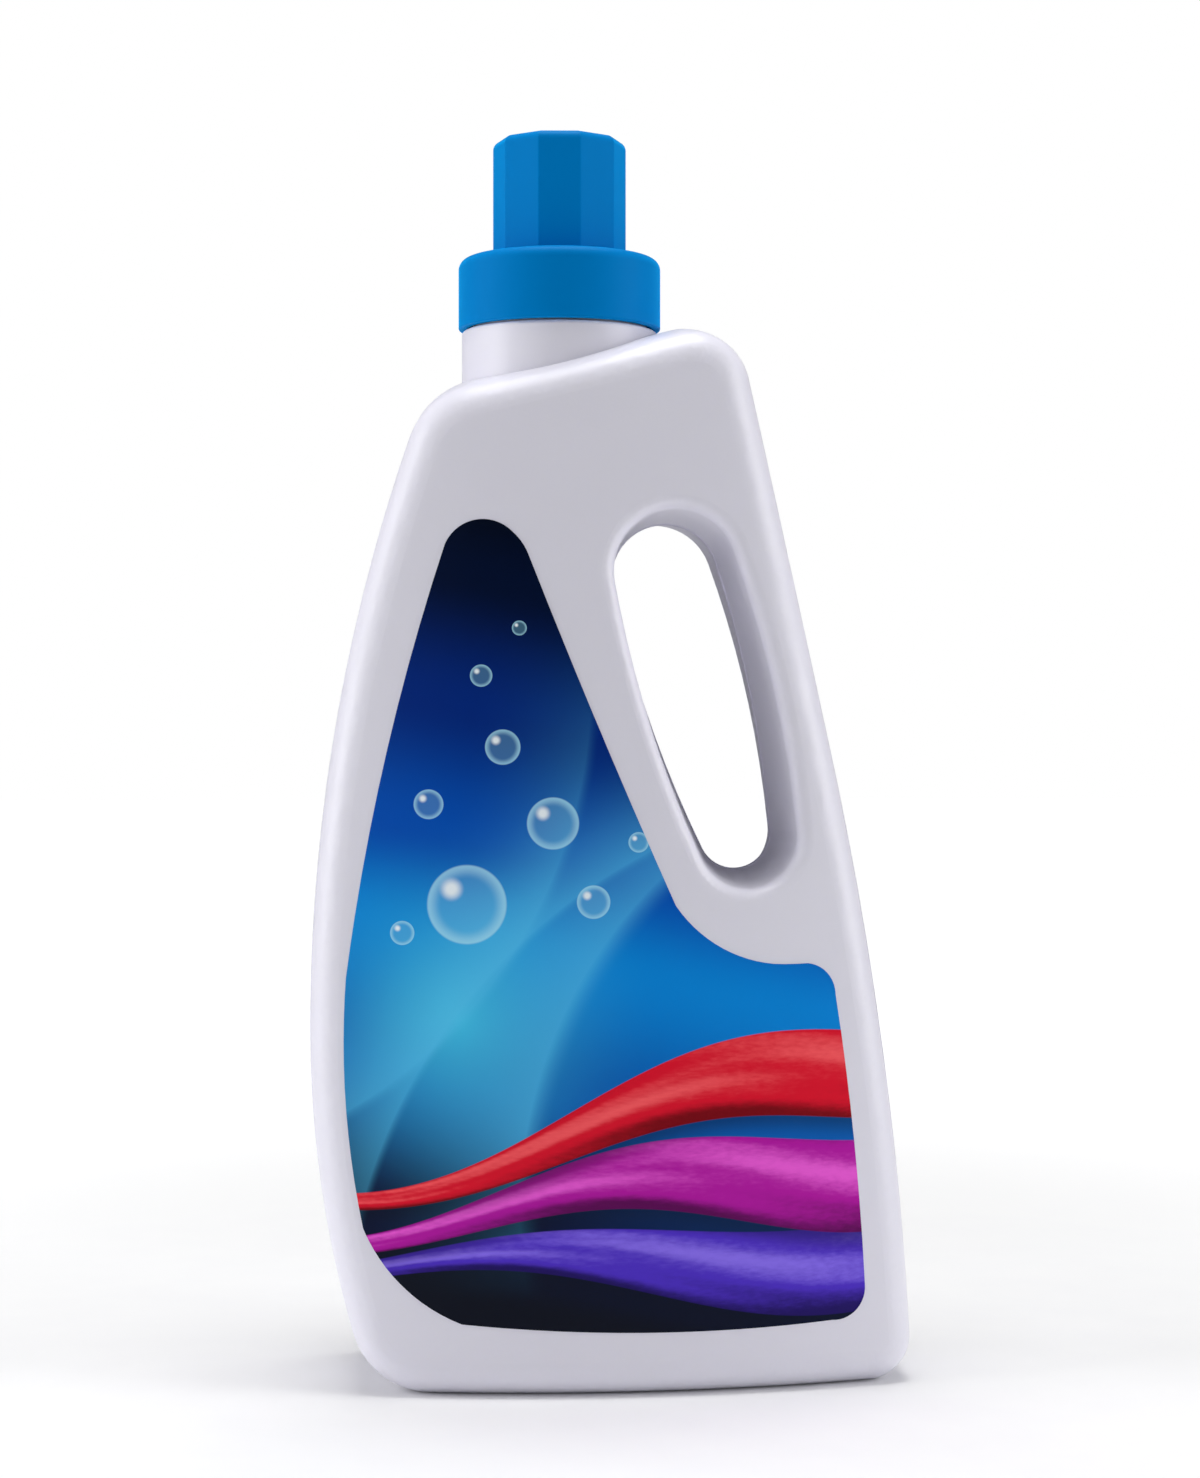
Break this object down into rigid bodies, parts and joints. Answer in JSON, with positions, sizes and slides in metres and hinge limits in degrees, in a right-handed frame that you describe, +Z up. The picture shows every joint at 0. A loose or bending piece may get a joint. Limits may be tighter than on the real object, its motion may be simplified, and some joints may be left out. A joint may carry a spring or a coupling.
{
  "type": "laundry detergent bottle",
  "caption": "Blow-moulded detergent bottle with a grip hole in its right side, a pouring spout in the neck and a screw cap that serves as measuring cup.",
  "frame": {"origin": "on the floor, at the middle of the bottle's width and depth", "axes": "+Z up along the cap's axis, +X towards the grip, -Y out of the labelled front"},
  "size_m": [0.1296, 0.0613, 0.27],
  "materials": {
    "bottle_plastic": "satin white moulded polyethylene",
    "spout_plastic": "milky soft polyethylene",
    "wad_foam": "fine white foam",
    "cap_plastic": "smooth blue polypropylene",
    "label_film": "printed glossy film"
  },
  "bodies": {
    "bottle": {"bottle_body": "bottle_plastic", "pour_spout": "spout_plastic", "front_label": "label_film"},
    "wad": {"seal_ring": "wad_foam"},
    "cap": {"screw_cap": "cap_plastic"}
  },
  "joints": [
    {"name": "cap_lift", "type": "slide", "parent": "bottle", "child": "wad", "axis": [0, 0, 1], "range_m": [0, 0.0451]},
    {"name": "cap_turn", "type": "hinge", "parent": "wad", "child": "cap", "pos_m": [-0.0107, 0, 0.236], "axis": [0, 0, 1], "range_deg": [0, 1350]}
  ],
  "couplings": [
    {"joint": "cap_lift", "follows": "cap_turn", "m_per_rad": 0.0019099}
  ]
}
